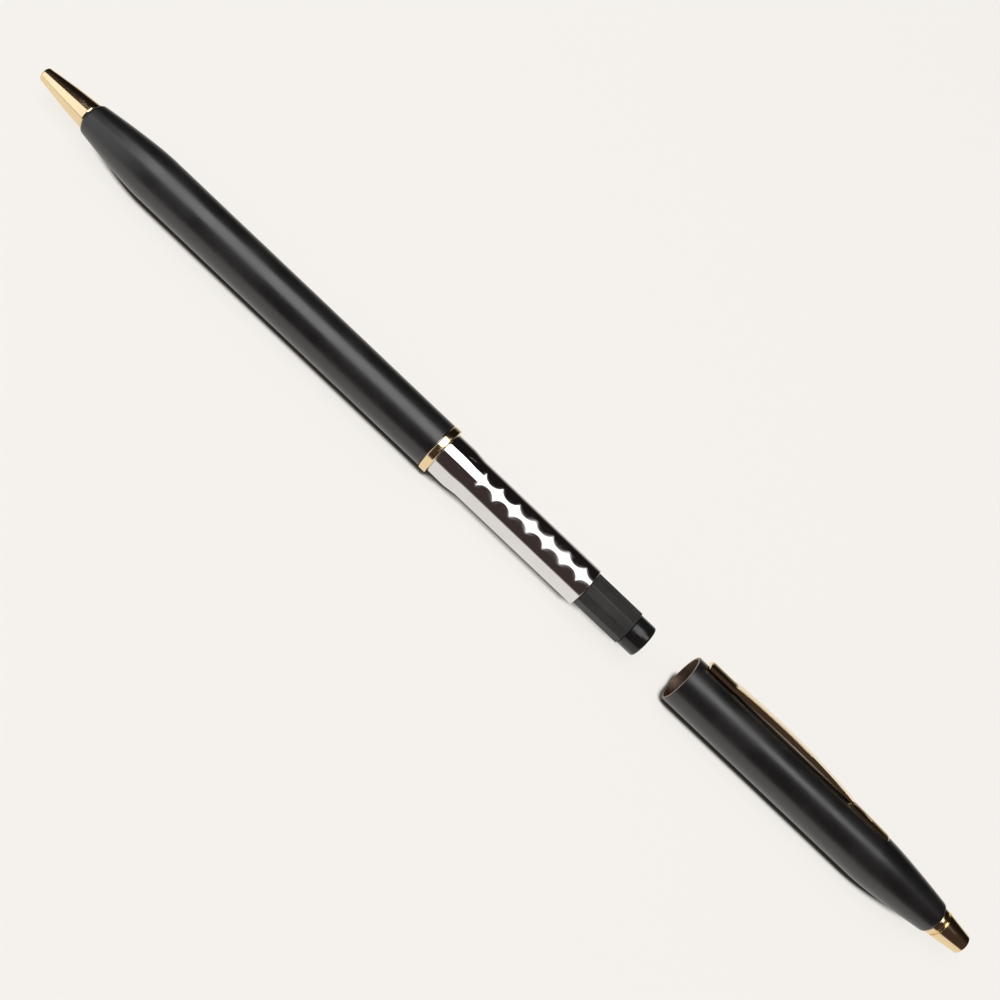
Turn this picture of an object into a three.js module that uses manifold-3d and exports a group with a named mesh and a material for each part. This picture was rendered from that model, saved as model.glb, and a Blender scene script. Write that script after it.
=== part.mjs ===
// A slim twist-action ballpoint pen, pulled apart as for a change of refill.
// Millimetres. +X runs along the pen from the writing end to the finial, +Z is up.
// The origin lies on the table, straight below the pen's axis at the middle of the trim ring.
import * as THREE from "three";
import { mergeVertices } from "three/addons/utils/BufferGeometryUtils.js";
import Module from "manifold-3d";

const wasm = await Module();
wasm.setup();

// Driving dimensions

const roundSides = 24; // facets round a turned piece, one of them flat on the table
const collarSides = 12; // flats of the collar and of the bush that takes it
const curveSteps = 9; // straight runs in a curved outline

const seam = 0.1; // gap between faces that meet end to end
const fitGap = 0.08; // radial gap of pieces that are pressed or glued together
const runGap = 0.08; // radial gap of pieces that turn or slide in each other

const noseLength = 9.5;
const noseTipRadius = 1.15;
const noseBaseRadius = 2.27;
const noseBulge = 0.1; // how far the cone's side stands proud of a straight line
const noseEdge = 0.22; // rounding of the front edge
const noseBoreRadius = 0.75; // hole that the point comes out of
const noseBoreLength = 4.4;
const spigotRadius = 2.0; // part of the nose cone inside the barrel
const spigotLength = 6;

const barrelLength = 69.2;
const barrelRadius = 3.9;
const barrelWall = 0.5;
const barrelFrontRadius = 2.66;
const barrelTaperLength = 13;
const barrelEdge = 0.5; // rounding of the barrel's front edge

const ringRadius = 4.05; // trim ring, the same as the upper barrel
const ringWidth = 1.3;
const ringEdge = 0.15;

const sleeveRadius = 3.3;
const sleeveBoreRadius = 2.95;
const sleeveExposed = 28.4;
const sleeveInside = 9.4; // length held in the lower barrel
const shoulderRadius = 3.55;
const shoulderLength = 4.3;

const collarRadius = 2.95; // over the corners
const collarLength = 8.5;
const collarEdge = 0.2;
const plugRadius = 2.7;
const plugLength = 3;
const plugEdge = 0.4;
const plugSpigotLength = 5;

const stroke = 4; // travel of the refill for half a turn
const retractedDepth = 1.2; // ball behind the nose cone's mouth at rest
const guideLength = 18;
const guideWall = 0.39;
const guideSlotWidth = 1.1;
const spindleWall = 0.45;
const spindleFlangeLength = 1;
const spindleFrontInset = 3.5; // spindle's front end behind the guide's
const cutWidth = 1.12; // width of the helical slots, square to their run
const lugRadius = 0.45;
const lugGap = 0.17; // between a lug's tip and the sleeve
const sliderLength = 7.7;
const sliderRearWall = 0.6;
const lugFromRear = 2; // lugs' centre from the slider's rear end
const lugFromFlange = 8.2; // lugs' centre at rest from the spindle's flange
const dragWire = 0.4; // section of the drag ring
const retainerLength = 1.6;
const retainerWall = 0.39;

const tubeRadius = 1.5;
const tubeWall = 0.25;
const tubeClear = 1; // tube's front end behind the cone's wide bore, at full stroke
const adapterFlange = 1;
const adapterStubRadius = 1.15;
const adapterStubLength = 6.7;
const ballRadius = 0.35;
const ballShows = 0.16; // ball in front of its socket's lip
const pointStemRadius = 0.62;
const pointLipRadius = 0.44;
const pointTaperLength = 2.4;
const neckRadius = 1.15;
const socketWall = 0.03; // play of the ball in its socket
const inkChannelRadius = 0.17;
const pointPlugLength = 4.6; // part of the point inside the tube
const inkFromRear = 10; // air behind the ink

const capGap = 7.4; // upper barrel's mouth behind the collar's plug, as pulled off
const capRadius = 4.05;
const capWall = 0.4;
const capTaperLength = 13.4;
const capTopRadius = 2.7;
const capEdge = 0.5; // rounding of the upper barrel's top edge
const capEndWall = 0.6;
const bushLead = 0.5; // collar's front end ahead of the grip bush when the pen is closed
const bushLength = 8;
const endPlugLength = 6.2;

const studRadius = 0.95;
const studIntoPlug = 4.6;
const studIntoCone = 2.7;
const topRingRadius = 2.3;
const topRingWidth = 0.8;
const topConeRadius = 2.25;
const topConeEndRadius = 1.62;
const topConeLength = 4.7;
const topConeEdge = 0.3;
const topGroove = 0.25; // depth and width of the groove in front of the cone

const clipFront = 1.6; // pad's front end behind the mouth
const clipPadLength = 5;
const clipPadWidth = 3;
const clipPadHeight = 1.05; // pad's crest above the shell
const clipArmWidth = 2.6;
const clipArmFrontHeight = 1; // arm's top above the shell, at the pad
const clipArmRearHeight = 0.45; // the same at the root
const clipArch = 0.525; // arm's top in the middle, above a straight line between its ends
const clipUnderArch = 0.25; // the same for the arm's underside
const clipRounding = 0.6; // of the corners seen from above
const clipRootFromBush = 1; // root's front end behind the grip bush's
const clipRootLength = 7.4;
const clipRootWidth = 3.1;
const clipRootEndHeight = 0.25;
const clipSeat = 0.07; // gap under the clip's pad and root
const clipTabLength = 1.6;
const clipTabWidth = 1.8;
const clipTabDepth = 0.8; // tab's end below the shell's outer face
const clipTabInset = 2.2; // tab behind the root's front end
const clipSlotPlay = 0.2; // round the tab
const clipAngle = 45; // degrees that the clip stands above the horizontal

// Places along the pen

const ringFront = -ringWidth / 2;
const ringRear = ringWidth / 2;
const barrelRear = ringFront - seam;
const barrelFront = barrelRear - barrelLength;
const noseShoulder = barrelFront - seam;
const noseTip = noseShoulder - noseLength;
const sleeveFront = barrelRear - sleeveInside;
const shoulderFront = ringRear + seam;
const sleeveRear = shoulderFront + sleeveExposed;
const collarFront = sleeveRear + seam;
const collarRear = collarFront + collarLength;
const plugFront = collarRear + seam;
const plugRear = plugFront + plugLength;
const capMouth = plugRear + capGap;
const bushFront = capMouth + collarFront - shoulderFront + bushLead;
const bushRear = bushFront + bushLength;
const capTop = bushRear + capTaperLength;
const clipRoot = bushFront + clipRootFromBush;

const retainerRear = sleeveRear - seam;
const retainerFront = retainerRear - retainerLength;
const dragMiddle = retainerFront - seam - dragWire / 2;
const flangeRear = dragMiddle - dragWire / 2 - seam;
const flangeFront = flangeRear - spindleFlangeLength;
const guideRear = flangeFront - seam;
const guideFront = guideRear - guideLength;
const spindleFront = guideFront + spindleFrontInset;
const spindleRear = collarRear - seam;
const lugAtRest = flangeFront - lugFromFlange;
const sliderRear = lugAtRest + lugFromRear;
const sliderFront = sliderRear - sliderLength;
const adapterRear = sliderFront - seam;
const tubeRear = adapterRear - adapterFlange - seam;
const ballFront = noseTip + retractedDepth;
const wideBoreFront = noseShoulder - 3 * seam;
const neckFront = noseTip + noseBoreLength + stroke + 2 * seam;
const tubeFront = wideBoreFront + stroke + tubeClear + 3 * seam;

// Radii that follow from the fits

const axisHeight = ringRadius * Math.cos(Math.PI / roundSides);
const barrelBoreRadius = barrelRadius - barrelWall;
const noseSeatRadius = spigotRadius + fitGap;
const noseWideBoreRadius = tubeRadius + runGap + 0.04;
const guideRadius = sleeveBoreRadius - fitGap;
const guideBoreRadius = guideRadius - guideWall;
const spindleRadius = guideBoreRadius - runGap;
const spindleBoreRadius = spindleRadius - spindleWall;
const sliderRadius = spindleBoreRadius - runGap - 0.07;
const flangeRadius = sleeveBoreRadius - runGap - 0.02;
const retainerRadius = sleeveBoreRadius - fitGap;
const sliderBoreRadius = adapterStubRadius + fitGap;
const capBoreRadius = capRadius - capWall;
const bushRadius = capBoreRadius - fitGap;
const bushCornerRadius = collarRadius + runGap + 0.03;
const studHoleRadius = studRadius + fitGap;

// Finishes

const finish = (color, roughness, metalness) =>
  new THREE.MeshStandardMaterial({ color, roughness, metalness });
const goldPlate = finish(0xd9b070, 0.14, 1);
const blackLacquer = finish(0x141414, 0.42, 0);
const chromePlate = finish(0xd8dade, 0.08, 1);
const bareBrass = finish(0xb58a4a, 0.35, 1);
const mattBlackPlastic = finish(0x1c1c1e, 0.6, 0);
const glossBlackPlastic = finish(0x101012, 0.2, 0);
const whiteAcetal = finish(0xe9e6dc, 0.45, 0);
const refillSteel = finish(0xb9bcc0, 0.25, 1);
const carbide = finish(0x8d9096, 0.15, 1);
const blackRubber = finish(0x202020, 0.85, 0);
const blueInk = finish(0x141c4a, 0.3, 0);

// Shape helpers

// A closed outline of [place along the pen, radius] points, turned about the pen's axis.
// An outline that starts and ends on the axis stays open there.
function turned(outline, sides = roundSides) {
  const points = outline.map(([x, r]) => new THREE.Vector2(r, x));
  if (THREE.ShapeUtils.isClockWise(points)) points.reverse();
  const onAxis = points.filter((p) => p.x === 0).length === 2;
  if (onAxis) while (points[0].x !== 0 || points.at(-1).x !== 0) points.push(points.shift());
  else points.push(points[0].clone());
  return new THREE.LatheGeometry(points, sides, Math.PI / sides).rotateZ(-Math.PI / 2);
}

// Points of a curve that leaves [x0, r0] towards [xc, rc] and arrives at [x1, r1].
function curve(start, control, end, steps = curveSteps) {
  const bend = new THREE.QuadraticBezierCurve(
    new THREE.Vector2(...start),
    new THREE.Vector2(...control),
    new THREE.Vector2(...end),
  );
  return bend.getPoints(steps).map((p) => [p.x, p.y]);
}

// A closed surface as a solid for joins and cuts.
function solid(geometry) {
  const bare = geometry.clone();
  bare.deleteAttribute("normal");
  bare.deleteAttribute("uv");
  const merged = mergeVertices(bare, 1e-4);
  const made = new wasm.Manifold(
    new wasm.Mesh({
      numProp: 3,
      vertProperties: merged.attributes.position.array,
      triVerts: new Uint32Array(merged.index.array),
    }),
  );
  return made;
}

function surface(made) {
  const { vertProperties, triVerts } = made.getMesh();
  const geometry = new THREE.BufferGeometry();
  geometry.setAttribute("position", new THREE.BufferAttribute(vertProperties, 3));
  geometry.setIndex(new THREE.BufferAttribute(triVerts, 1));
  geometry.computeVertexNormals();
  return geometry;
}

// The first shape with each of the others cut away.
function cut(geometry, ...tools) {
  return surface(tools.reduce((rest, tool) => rest.subtract(solid(tool)), solid(geometry)));
}

// A flat outline of [across, up] points, extruded by a depth on both sides of its plane.
function plate(outline, depth) {
  const shape = new THREE.Shape(outline.map(([x, y]) => new THREE.Vector2(x, y)));
  const made = new THREE.ExtrudeGeometry(shape, { depth, bevelEnabled: false });
  return made.translate(0, 0, -depth / 2);
}

// A block between two places along the pen, centred on the axis or set off from it.
function block(from, to, low, high, width) {
  const made = new THREE.BoxGeometry(to - from, high - low, width);
  return made.translate((from + to) / 2, (low + high) / 2, 0);
}

// Groups and pieces

const pen = new THREE.Group();
const axis = new THREE.Group();
axis.position.z = axisHeight;
pen.add(axis);

function piece(name, geometry, material, place = axis) {
  const mesh = new THREE.Mesh(geometry, material);
  mesh.name = name;
  place.add(mesh);
}

// Nose cone: a bulged cone with a stepped bore and a spigot that goes into the barrel.
function noseCone() {
  const middle = [
    (noseTip + noseEdge + noseShoulder) / 2,
    (noseTipRadius + noseBaseRadius) / 2 + 2 * noseBulge,
  ];
  const side = curve([noseTip + noseEdge, noseTipRadius], middle, [noseShoulder, noseBaseRadius]);
  const front = curve(
    [noseTip, noseTipRadius - noseEdge],
    [noseTip, noseTipRadius],
    [noseTip + noseEdge, noseTipRadius],
    3,
  );
  const spigotRear = noseShoulder + spigotLength;
  const boreStep = noseTip + noseBoreLength;
  return turned([
    [noseTip, noseBoreRadius],
    ...front,
    ...side.slice(1),
    [noseShoulder, spigotRadius],
    [spigotRear, spigotRadius],
    [spigotRear, noseWideBoreRadius],
    [wideBoreFront, noseWideBoreRadius],
    [wideBoreFront, neckRadius + 2 * runGap],
    [boreStep, neckRadius + 2 * runGap],
    [boreStep, noseBoreRadius],
  ]);
}

// Lower barrel: an ogive front, then straight to the trim ring.
function lowerBarrel() {
  const taperStart = barrelFront + barrelEdge;
  const taperEnd = barrelFront + barrelTaperLength;
  const bend = taperEnd - 0.29 * barrelTaperLength;
  const front = curve(
    [barrelFront, barrelFrontRadius - 0.6 * barrelEdge],
    [barrelFront, barrelFrontRadius - 0.1 * barrelEdge],
    [taperStart, barrelFrontRadius],
    4,
  );
  const seatRear = noseShoulder + spigotLength + 4 * seam;
  return turned([
    [barrelFront, noseSeatRadius],
    ...front,
    ...curve([taperStart, barrelFrontRadius], [bend, barrelRadius], [taperEnd, barrelRadius]).slice(1),
    [barrelRear, barrelRadius],
    [barrelRear, barrelBoreRadius],
    [taperEnd + 2, barrelBoreRadius],
    [seatRear, noseSeatRadius],
  ]);
}

// Trim ring, held between the barrel's rear end and the sleeve's shoulder.
function trimRing() {
  return turned([
    [ringFront, sleeveRadius + fitGap],
    [ringFront, ringRadius - ringEdge],
    [ringFront + ringEdge, ringRadius],
    [ringRear - ringEdge, ringRadius],
    [ringRear, ringRadius - ringEdge],
    [ringRear, sleeveRadius + fitGap],
  ]);
}

// Mechanism sleeve: a plain tube with a wider shoulder behind the trim ring.
function mechanismSleeve() {
  const shoulderRear = shoulderFront + shoulderLength;
  return turned([
    [sleeveFront, sleeveBoreRadius],
    [sleeveFront, sleeveRadius],
    [shoulderFront, sleeveRadius],
    [shoulderFront, shoulderRadius],
    [shoulderRear, shoulderRadius],
    [shoulderRear + (shoulderRadius - sleeveRadius) / 2, sleeveRadius],
    [sleeveRear - seam, sleeveRadius],
    [sleeveRear, sleeveRadius - seam],
    [sleeveRear, sleeveBoreRadius],
  ]);
}

// Slider guide: a tube with two straight slots, open at the rear, that keep the slider from turning.
function sliderGuide() {
  const tube = turned([
    [guideFront, guideBoreRadius],
    [guideFront, guideRadius],
    [guideRear, guideRadius],
    [guideRear, guideBoreRadius],
  ]);
  const slotFront = lugAtRest - stroke - lugRadius - 3 * runGap;
  const reach = 2 * guideRadius;
  return cut(tube, block(slotFront, guideRear + guideSlotWidth, -reach, reach, guideSlotWidth));
}

// A block bent round the axis along a helix, to cut a slot in a tube.
function helicalCutter(startAngle, turn, from, to, width, radius) {
  const steps = 26;
  const made = new THREE.BoxGeometry(1, 1, 1, steps, 1, 1);
  const spots = made.attributes.position;
  for (let i = 0; i < spots.count; i += 1) {
    const along = spots.getX(i) + 0.5;
    const angle = startAngle + along * turn;
    const distance = radius * (1 + spots.getY(i));
    const place = from + along * (to - from) - spots.getZ(i) * width;
    spots.setXYZ(i, place, distance * Math.cos(angle), distance * Math.sin(angle));
  }
  return made;
}

// Cam spindle: half a turn of it drives the slider's lugs along the two helical slots.
function camSpindle() {
  const tube = turned([
    [spindleFront, spindleBoreRadius],
    [spindleFront, spindleRadius],
    [flangeFront, spindleRadius],
    [flangeFront, flangeRadius],
    [flangeRear, flangeRadius],
    [flangeRear, spindleRadius],
    [spindleRear, spindleRadius],
    [spindleRear, spindleBoreRadius],
  ]);
  const middleRadius = (spindleRadius + spindleBoreRadius) / 2;
  const pitchPerRadian = stroke / Math.PI;
  const slope = Math.atan(pitchPerRadian / middleRadius);
  const overrun = (lugRadius + runGap) / middleRadius / Math.cos(slope);
  const turn = Math.PI + 2 * overrun;
  const from = lugAtRest + overrun * pitchPerRadian;
  const to = from - turn * pitchPerRadian;
  const axialWidth = cutWidth / Math.cos(slope);
  const slots = [0, Math.PI].map((angle) =>
    helicalCutter(angle - overrun, turn, from, to, axialWidth, middleRadius),
  );
  return cut(tube, ...slots);
}

// Slider: holds the refill's rear plug, with a lug on each side that passes through both slots.
function slider() {
  const body = turned([
    [sliderFront, sliderBoreRadius],
    [sliderFront, sliderRadius],
    [sliderRear, sliderRadius],
    [sliderRear, 0],
    [sliderRear - sliderRearWall, 0],
    [sliderRear - sliderRearWall, sliderBoreRadius],
  ]);
  const lugTip = sleeveBoreRadius - lugGap;
  const lugs = new THREE.CylinderGeometry(lugRadius, lugRadius, 2 * lugTip, 12);
  lugs.translate(lugAtRest, 0, 0);
  const bore = turned([
    [sliderFront, 0],
    [sliderFront, sliderBoreRadius],
    [sliderRear - sliderRearWall, sliderBoreRadius],
    [sliderRear - sliderRearWall, 0],
  ]);
  return surface(solid(body).add(solid(lugs)).subtract(solid(bore)));
}

// A plain ring between two places.
function ring(from, to, innerRadius, outerRadius) {
  return turned([
    [from, innerRadius],
    [from, outerRadius],
    [to, outerRadius],
    [to, innerRadius],
  ]);
}

// Drag ring: a rubber ring of round section on the spindle, behind its flange.
function dragRing() {
  const middle = (spindleRadius + sleeveBoreRadius) / 2;
  const section = [];
  for (let i = 0; i < 10; i += 1) {
    const angle = (i * Math.PI) / 5;
    const spot = [Math.cos(angle), Math.sin(angle)].map((part) => (part * dragWire) / 2);
    section.push([dragMiddle + spot[0], middle + spot[1]]);
  }
  return turned(section);
}

// Collar: twelve flats outside and a round bore on the spindle.
function twistCollar() {
  const outside = turned(
    [
      [collarFront, 0],
      [collarFront, collarRadius - collarEdge],
      [collarFront + collarEdge, collarRadius],
      [collarRear - collarEdge, collarRadius],
      [collarRear, collarRadius - collarEdge],
      [collarRear, 0],
    ],
    collarSides,
  );
  const boreRadius = spindleRadius + fitGap;
  return cut(
    outside,
    turned([
      [collarFront - 1, 0],
      [collarFront - 1, boreRadius],
      [collarRear + 1, boreRadius],
      [collarRear + 1, 0],
    ]),
  );
}

// End plug of the collar: a head with a rounded edge and a spigot in the spindle.
function collarEndPlug() {
  const spigot = spindleBoreRadius - fitGap;
  return turned([
    [plugFront, spigot],
    [plugFront, plugRadius - seam],
    [plugFront + seam, plugRadius],
    ...curve(
      [plugRear - plugEdge, plugRadius],
      [plugRear, plugRadius],
      [plugRear, plugRadius - plugEdge],
      4,
    ),
    [plugRear, 0],
    [plugFront - plugSpigotLength, 0],
    [plugFront - plugSpigotLength, spigot],
  ]);
}

// Rear plug of the refill: a flange on the tube's end, a stub in the slider and one in the tube.
function refillRearPlug() {
  const flangeFace = adapterRear - adapterFlange;
  const insideTube = tubeRadius - tubeWall - fitGap;
  return turned([
    [flangeFace - 3, 0],
    [flangeFace - 3, insideTube],
    [flangeFace, insideTube],
    [flangeFace, tubeRadius],
    [adapterRear, tubeRadius],
    [adapterRear, adapterStubRadius],
    [adapterRear + adapterStubLength, adapterStubRadius],
    [adapterRear + adapterStubLength, 0],
  ]);
}

// Point of the refill: socket for the ball, thin stem, neck, and a plug in the tube.
function refillPoint() {
  const lip = ballFront + ballShows;
  const ballMiddle = ballFront + ballRadius;
  const socket = ballRadius + socketWall;
  const lipBore = Math.sqrt(ballRadius ** 2 - (ballMiddle - lip) ** 2) + socketWall;
  const socketRear = ballMiddle + socket;
  const plugRear = tubeFront + pointPlugLength;
  const insideTube = tubeRadius - tubeWall - fitGap;
  return turned([
    [lip, lipBore],
    [lip, pointLipRadius],
    [lip + pointTaperLength, pointStemRadius],
    [neckFront, pointStemRadius],
    [neckFront + 2 * seam, neckRadius],
    [tubeFront - seam, neckRadius],
    [tubeFront - seam, insideTube],
    [plugRear, insideTube],
    [plugRear, inkChannelRadius],
    [socketRear, inkChannelRadius],
    [ballMiddle + socket / 2, socket],
    [ballMiddle, socket],
  ]);
}

function writingBall() {
  const made = new THREE.SphereGeometry(ballRadius, 12, 8);
  return made.translate(ballFront + ballRadius, 0, 0);
}

// Ink in the tube, from the point's plug to the air behind it.
function inkColumn() {
  const from = tubeFront + pointPlugLength + seam;
  const to = tubeRear - inkFromRear;
  const radius = tubeRadius - tubeWall - fitGap;
  return turned([
    [from, 0],
    [from, radius],
    [to, radius],
    [to, 0],
  ]);
}

// The taper at the top of the upper barrel, set in by a wall.
function capTaper(inset, from = 0, steps = curveSteps) {
  const start = capTop - capTaperLength;
  const end = capTop - capEdge;
  const bend = start + 0.27 * capTaperLength;
  const whole = new THREE.QuadraticBezierCurve(
    new THREE.Vector2(start, capRadius),
    new THREE.Vector2(bend, capRadius),
    new THREE.Vector2(end, capTopRadius),
  );
  const points = [];
  for (let i = 0; i <= steps; i += 1) {
    const spot = whole.getPoint(from + ((1 - from) * i) / steps);
    points.push([spot.x, spot.y - inset]);
  }
  return points;
}

// Upper barrel: a thin shell with an open mouth, a tapered top and a slot for the clip's tab.
function capShell(slot) {
  const topInside = capTop - capEndWall;
  const inside = capTaper(capWall).filter(([x]) => x < topInside - seam);
  const shell = turned([
    [capMouth, capBoreRadius],
    [capMouth, capRadius - seam],
    [capMouth + seam, capRadius],
    ...capTaper(0),
    ...curve(
      [capTop - capEdge, capTopRadius],
      [capTop, capTopRadius - 0.15 * capEdge],
      [capTop, capTopRadius - 0.7 * capEdge],
      3,
    ).slice(1),
    [capTop, studHoleRadius],
    [topInside, studHoleRadius],
    [topInside, inside.at(-1)[1] - seam],
    ...inside.reverse(),
  ]);
  return cut(shell, slot);
}

// Grip bush: round outside, twelve flats inside that turn the collar.
function gripBush(slot) {
  const flats = turned(
    [
      [bushFront - 1, 0],
      [bushFront - 1, bushCornerRadius],
      [bushRear + 1, bushCornerRadius],
      [bushRear + 1, 0],
    ],
    collarSides,
  );
  const round = turned([
    [bushFront, 0],
    [bushFront, bushRadius],
    [bushRear, bushRadius],
    [bushRear, 0],
  ]);
  return cut(round, flats, slot);
}

// End plug of the upper barrel: fills the taper and takes the stud.
function capEndPlug() {
  const rear = capTop - capEndWall - seam;
  const front = rear - endPlugLength;
  const side = capTaper(capWall + fitGap + 0.02, 0.3, 12).filter(([x]) => x > front && x < rear - seam);
  return turned([
    [front, studHoleRadius],
    [front, side[0][1]],
    ...side,
    [rear, side.at(-1)[1] - 2 * seam],
    [rear, studHoleRadius],
  ]);
}

// Finial: its ring, a groove and a cone with a flat end.
const topRingFront = capTop + seam;
const topRingRear = topRingFront + topRingWidth;
const topConeFront = topRingRear + seam;
const topConeRear = topConeFront + topConeLength;

function topRing() {
  return turned([
    [topRingFront, studHoleRadius],
    [topRingFront, topRingRadius - seam],
    [topRingFront + seam, topRingRadius],
    [topRingRear - seam, topRingRadius],
    [topRingRear, topRingRadius - seam],
    [topRingRear, studHoleRadius],
  ]);
}

function topCone() {
  const holeRear = topConeFront + studIntoCone + seam;
  return turned([
    [topConeFront, studHoleRadius],
    [topConeFront, topConeRadius - topGroove],
    [topConeFront + topGroove, topConeRadius - topGroove],
    [topConeFront + topGroove, topConeRadius],
    ...curve(
      [topConeRear - topConeEdge, topConeEndRadius],
      [topConeRear, topConeEndRadius],
      [topConeRear, topConeEndRadius - topConeEdge],
      3,
    ),
    [topConeRear, 0],
    [holeRear, 0],
    [holeRear, studHoleRadius],
  ]);
}

function topStud() {
  const from = capTop - capEndWall - seam - studIntoPlug;
  const to = topConeFront + studIntoCone;
  return turned([
    [from, 0],
    [from, studRadius],
    [to, studRadius],
    [to, 0],
  ]);
}

// Clip: a side profile crossed with a plan outline, with a saddle under its root and a tab.
// Here X runs along the pen, Y away from its axis and Z across the clip.
function clipSideProfile() {
  const low = capRadius + clipSeat;
  const front = capMouth + clipFront;
  const padRear = front + clipPadLength;
  const root = clipRoot;
  const rootRear = root + clipRootLength;
  const armFront = capRadius + clipArmFrontHeight;
  const armRear = capRadius + clipArmRearHeight;
  const middle = (padRear + root) / 2;
  const peak = (armFront + armRear) / 2 + 2 * clipArch;
  const rootLow = capRadius - 4 * clipSeat;
  return [
    [front, low],
    [front, capRadius + 0.65 * clipPadHeight],
    [front + 0.1 * clipPadLength, capRadius + 0.85 * clipPadHeight],
    [padRear - 0.2 * clipRounding, capRadius + clipPadHeight],
    ...curve([padRear, armFront], [middle, peak], [root, armRear], 14),
    ...curve(
      [rootRear - clipRounding, capRadius + clipRootEndHeight + 0.05 * clipRounding],
      [rootRear, capRadius + clipRootEndHeight],
      [rootRear, capRadius + 0.6 * clipRootEndHeight],
      3,
    ),
    [rootRear, rootLow],
    [root + 0.5 * clipRounding, rootLow],
    ...curve([root, low], [middle, low + 2 * clipUnderArch], [padRear, low], 14),
  ];
}

function clipPlan() {
  const front = capMouth + clipFront;
  const padRear = front + clipPadLength;
  const root = clipRoot;
  const rootRear = root + clipRootLength;
  const halves = [clipPadWidth, clipArmWidth, clipRootWidth].map((width) => width / 2);
  const [pad, arm, base] = halves;
  const step = clipRounding;
  const side = [
    ...curve([front, pad - step], [front, pad], [front + step, pad], 3),
    [padRear, pad],
    [padRear + step, arm],
    [root - 2 * step, arm],
    [root, base],
    ...curve([rootRear - step, base], [rootRear, base], [rootRear, base - step], 3),
  ];
  const otherSide = side.map(([x, z]) => [x, -z]).reverse();
  return [...side, ...otherSide];
}

// A bar along the pen with a crowned section, that ends at a height above the shell.
function crownedBar(from, to, width, height) {
  const half = width / 2;
  const side = [
    [half, 0],
    [half, capRadius + 0.4 * height],
    [0.85 * half, capRadius + 0.7 * height],
    [0.58 * half, capRadius + 0.91 * height],
    [0.22 * half, capRadius + height],
  ];
  const otherSide = side.map(([x, y]) => [-x, y]).reverse();
  const bar = plate([...side, ...otherSide], to - from).rotateY(Math.PI / 2);
  return solid(bar.translate((from + to) / 2, 0, 0));
}

// What the clip may fill: its pad and its root are crowned, its arm is flat.
function clipLimit() {
  const padRear = capMouth + clipFront + clipPadLength;
  const rootRear = clipRoot + clipRootLength;
  const reach = 4 * capRadius;
  return solid(block(padRear - seam, clipRoot + seam, 0, reach, reach))
    .add(crownedBar(capMouth, padRear, clipPadWidth, clipPadHeight))
    .add(crownedBar(clipRoot, rootRear + 1, clipRootWidth, clipArmRearHeight));
}

const tabFront = clipRoot + clipTabInset;

function clip() {
  const tall = 4 * capRadius;
  const side = solid(plate(clipSideProfile(), 2 * clipRootWidth));
  const plan = solid(plate(clipPlan(), tall).rotateX(Math.PI / 2));
  const bed = solid(ring(capMouth - 1, capTop, 0.5 * capRadius, capRadius + clipSeat));
  const tab = solid(
    block(
      tabFront,
      tabFront + clipTabLength,
      capRadius - clipTabDepth,
      capRadius + 2 * clipSeat,
      clipTabWidth,
    ),
  );
  return surface(side.intersect(plan).intersect(clipLimit()).subtract(bed).add(tab));
}

function clipSlot(turn) {
  return block(
    tabFront - clipSlotPlay,
    tabFront + clipTabLength + clipSlotPlay,
    0.6 * collarRadius,
    capRadius + 1,
    clipTabWidth + 2 * clipSlotPlay,
  ).rotateX(turn);
}

// The lower half, as it stays together

piece("nose_cone", noseCone(), goldPlate);
piece("lower_barrel", lowerBarrel(), blackLacquer);
piece("trim_ring", trimRing(), goldPlate);
piece("mechanism_sleeve", mechanismSleeve(), chromePlate);
piece("slider_guide", sliderGuide(), bareBrass);
piece(
  "retaining_ring",
  ring(retainerFront, retainerRear, retainerRadius - retainerWall, retainerRadius),
  bareBrass,
);

// What turns with the collar

piece("cam_spindle", camSpindle(), refillSteel);
piece("drag_ring", dragRing(), blackRubber);
piece("twist_collar", twistCollar(), mattBlackPlastic);
piece("collar_end_plug", collarEndPlug(), glossBlackPlastic);

// What slides with the refill

piece("slider", slider(), whiteAcetal);
piece("refill_rear_plug", refillRearPlug(), mattBlackPlastic);
piece("refill_tube", ring(tubeFront, tubeRear, tubeRadius - tubeWall, tubeRadius), refillSteel);
piece("ink_column", inkColumn(), blueInk);
piece("refill_point", refillPoint(), bareBrass);
piece("writing_ball", writingBall(), carbide);

// The upper barrel, pulled off

const turnOfClip = (clipAngle * Math.PI) / 180;
const clipSide = new THREE.Group();
clipSide.rotation.x = turnOfClip;
axis.add(clipSide);

piece("cap_shell", capShell(clipSlot(turnOfClip)), blackLacquer);
piece("grip_bush", gripBush(clipSlot(turnOfClip)), mattBlackPlastic);
piece("cap_end_plug", capEndPlug(), bareBrass);
piece("top_ring", topRing(), goldPlate);
piece("top_cone", topCone(), goldPlate);
piece("top_stud", topStud(), refillSteel);
piece("clip", clip(), goldPlate, clipSide);

export default pen;
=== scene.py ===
import math

import bpy
from mathutils import Matrix, Vector


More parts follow.
